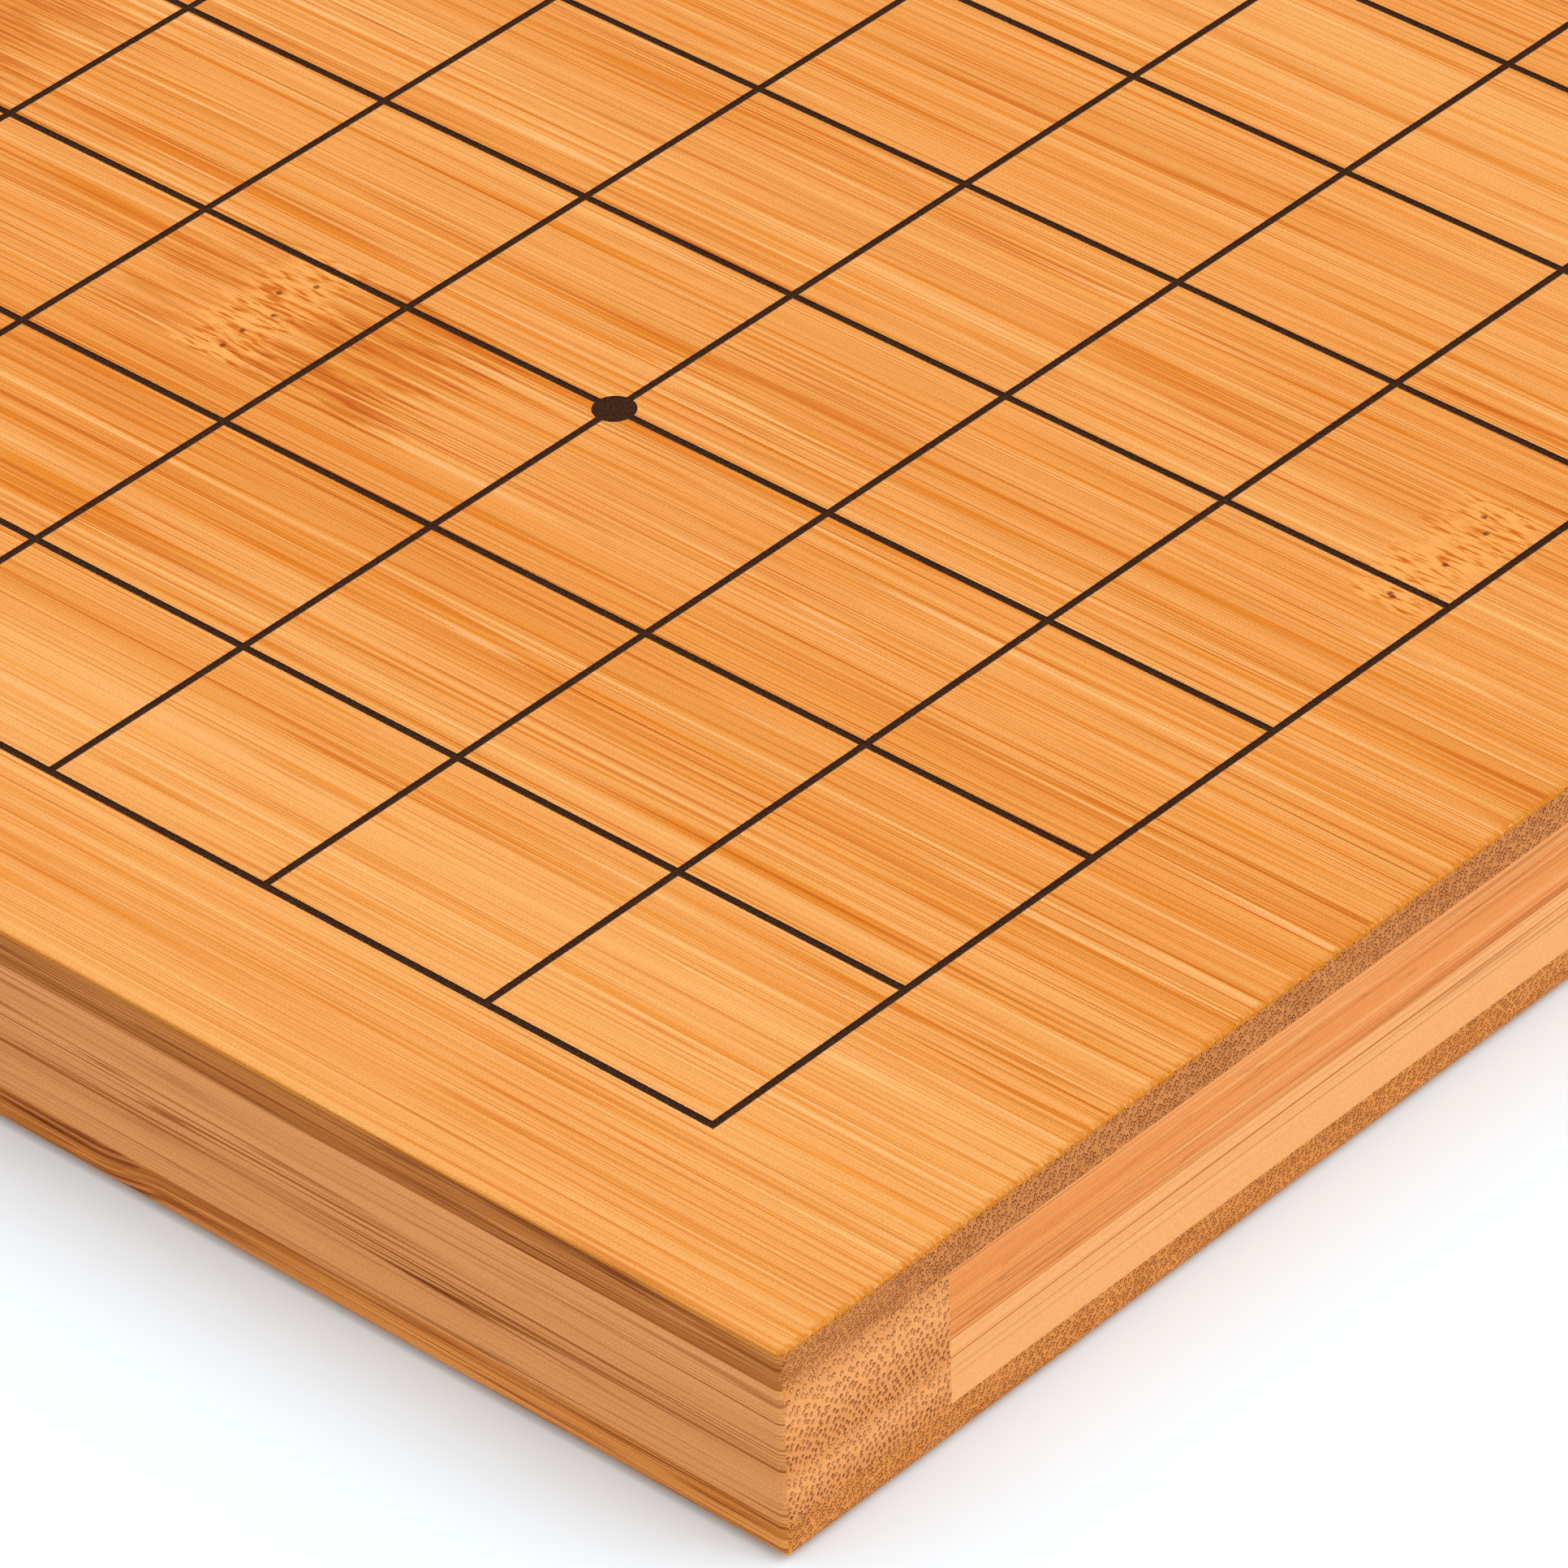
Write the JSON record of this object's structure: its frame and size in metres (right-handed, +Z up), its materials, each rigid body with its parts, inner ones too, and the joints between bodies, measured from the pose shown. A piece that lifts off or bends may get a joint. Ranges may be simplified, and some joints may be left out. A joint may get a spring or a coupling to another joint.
{
  "type": "go board",
  "caption": "Flat laminated bamboo go board with an etched square grid and star points, made of edge-glued face strips over a cross-laid core closed by side rails.",
  "frame": {"origin": "centre of the underside, on the surface that the board rests on", "axes": "+X across the board, +Y along its longer side, +Z up out of the playing face"},
  "size_m": [0.4304, 0.4714, 0.02],
  "materials": {
    "top_bamboo": "lacquered, satin",
    "bottom_bamboo": "lacquered, satin",
    "rail_bamboo": "sanded, thin lacquer",
    "stave_bamboo": "sanded, thin lacquer",
    "dark_marks": "burnt, matt"
  },
  "bodies": {
    "root": {"top_strip_01": "top_bamboo", "top_strip_02": "top_bamboo", "top_strip_03": "top_bamboo", "top_strip_04": "top_bamboo", "top_strip_05": "top_bamboo", "top_strip_06": "top_bamboo", "top_strip_07": "top_bamboo", "top_strip_08": "top_bamboo", "top_strip_09": "top_bamboo", "top_strip_10": "top_bamboo", "top_strip_11": "top_bamboo", "top_strip_12": "top_bamboo", "top_strip_13": "top_bamboo", "top_strip_14": "top_bamboo", "top_strip_15": "top_bamboo", "top_strip_16": "top_bamboo", "top_strip_17": "top_bamboo", "top_strip_18": "top_bamboo", "top_strip_19": "top_bamboo", "top_strip_20": "top_bamboo", "top_strip_21": "top_bamboo", "top_strip_22": "top_bamboo", "top_strip_23": "top_bamboo", "top_strip_24": "top_bamboo", "top_strip_25": "top_bamboo", "bottom_strip_01": "bottom_bamboo", "bottom_strip_02": "bottom_bamboo", "bottom_strip_03": "bottom_bamboo", "bottom_strip_04": "bottom_bamboo", "bottom_strip_05": "bottom_bamboo", "bottom_strip_06": "bottom_bamboo", "bottom_strip_07": "bottom_bamboo", "bottom_strip_08": "bottom_bamboo", "bottom_strip_09": "bottom_bamboo", "bottom_strip_10": "bottom_bamboo", "bottom_strip_11": "bottom_bamboo", "bottom_strip_12": "bottom_bamboo", "bottom_strip_13": "bottom_bamboo", "bottom_strip_14": "bottom_bamboo", "bottom_strip_15": "bottom_bamboo", "bottom_strip_16": "bottom_bamboo", "bottom_strip_17": "bottom_bamboo", "bottom_strip_18": "bottom_bamboo", "bottom_strip_19": "bottom_bamboo", "bottom_strip_20": "bottom_bamboo", "bottom_strip_21": "bottom_bamboo", "bottom_strip_22": "bottom_bamboo", "bottom_strip_23": "bottom_bamboo", "bottom_strip_24": "bottom_bamboo", "bottom_strip_25": "bottom_bamboo", "left_rail_upper": "rail_bamboo", "left_rail_lower": "rail_bamboo", "right_rail_upper": "rail_bamboo", "right_rail_lower": "rail_bamboo", "front_stave_upper": "stave_bamboo", "front_stave_lower": "stave_bamboo", "back_stave_upper": "stave_bamboo", "back_stave_lower": "stave_bamboo", "inner_staves": "stave_bamboo", "grid_marks": "dark_marks"}
  },
  "joints": []
}
